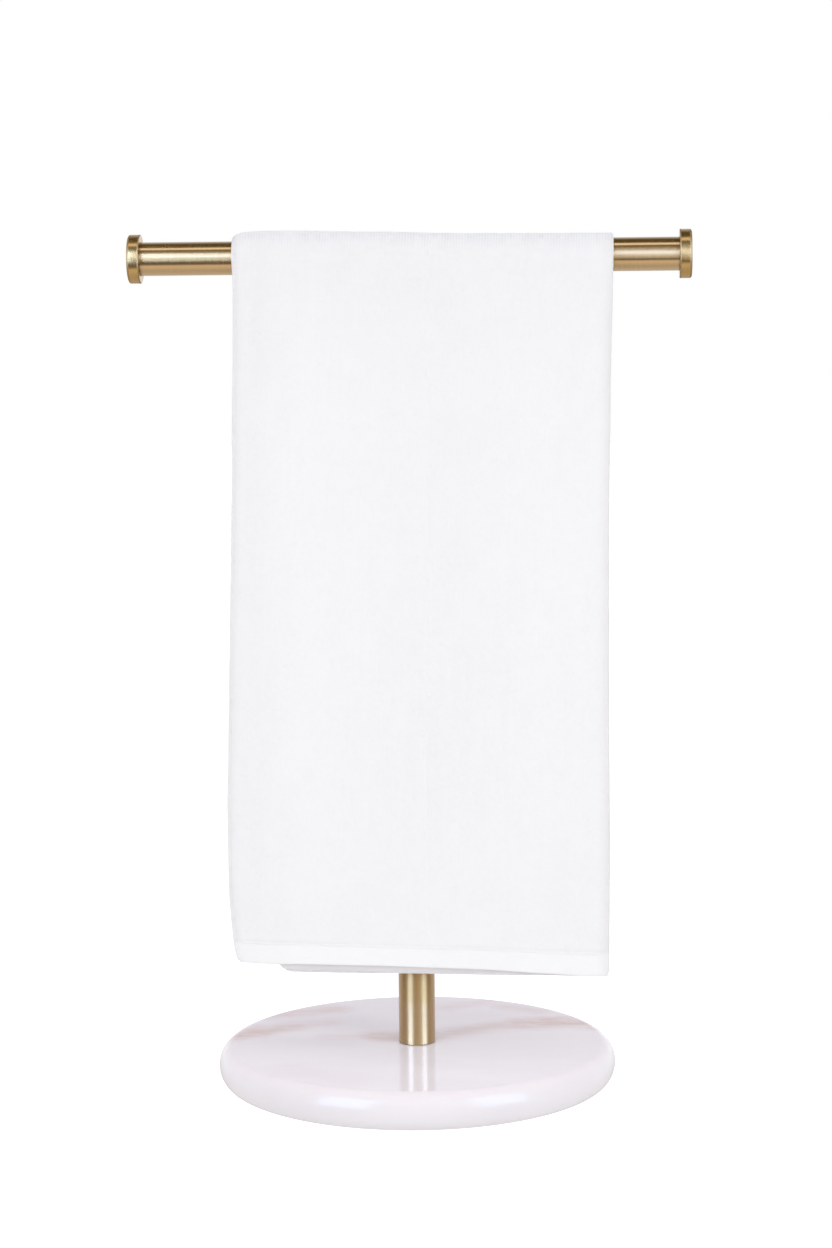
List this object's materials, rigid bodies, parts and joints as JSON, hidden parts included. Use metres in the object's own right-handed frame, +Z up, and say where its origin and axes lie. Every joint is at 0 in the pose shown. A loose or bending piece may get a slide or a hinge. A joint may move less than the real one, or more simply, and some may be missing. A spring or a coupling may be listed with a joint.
{
  "type": "hand towel on a countertop towel stand",
  "caption": "White terry hand towel folded in half lengthwise and draped over the bar of a brushed brass stand with a round marble base.",
  "frame": {"origin": "centre of the underside of the round base, on the surface that the stand rests on", "axes": "+Z up along the post, X along the bar with the towel's lengthwise fold towards +X, and -Y out of the towel's front panel"},
  "size_m": [0.3, 0.217, 0.463],
  "materials": {
    "terry": "white cotton terry with flat woven hems",
    "brass": "brushed round the tubes and caps",
    "marble": "polished white marble with faint warm veins"
  },
  "bodies": {
    "root": {"towel": "terry", "bar": "brass", "cap_left": "brass", "cap_right": "brass", "post": "brass", "base": "marble"}
  },
  "joints": []
}
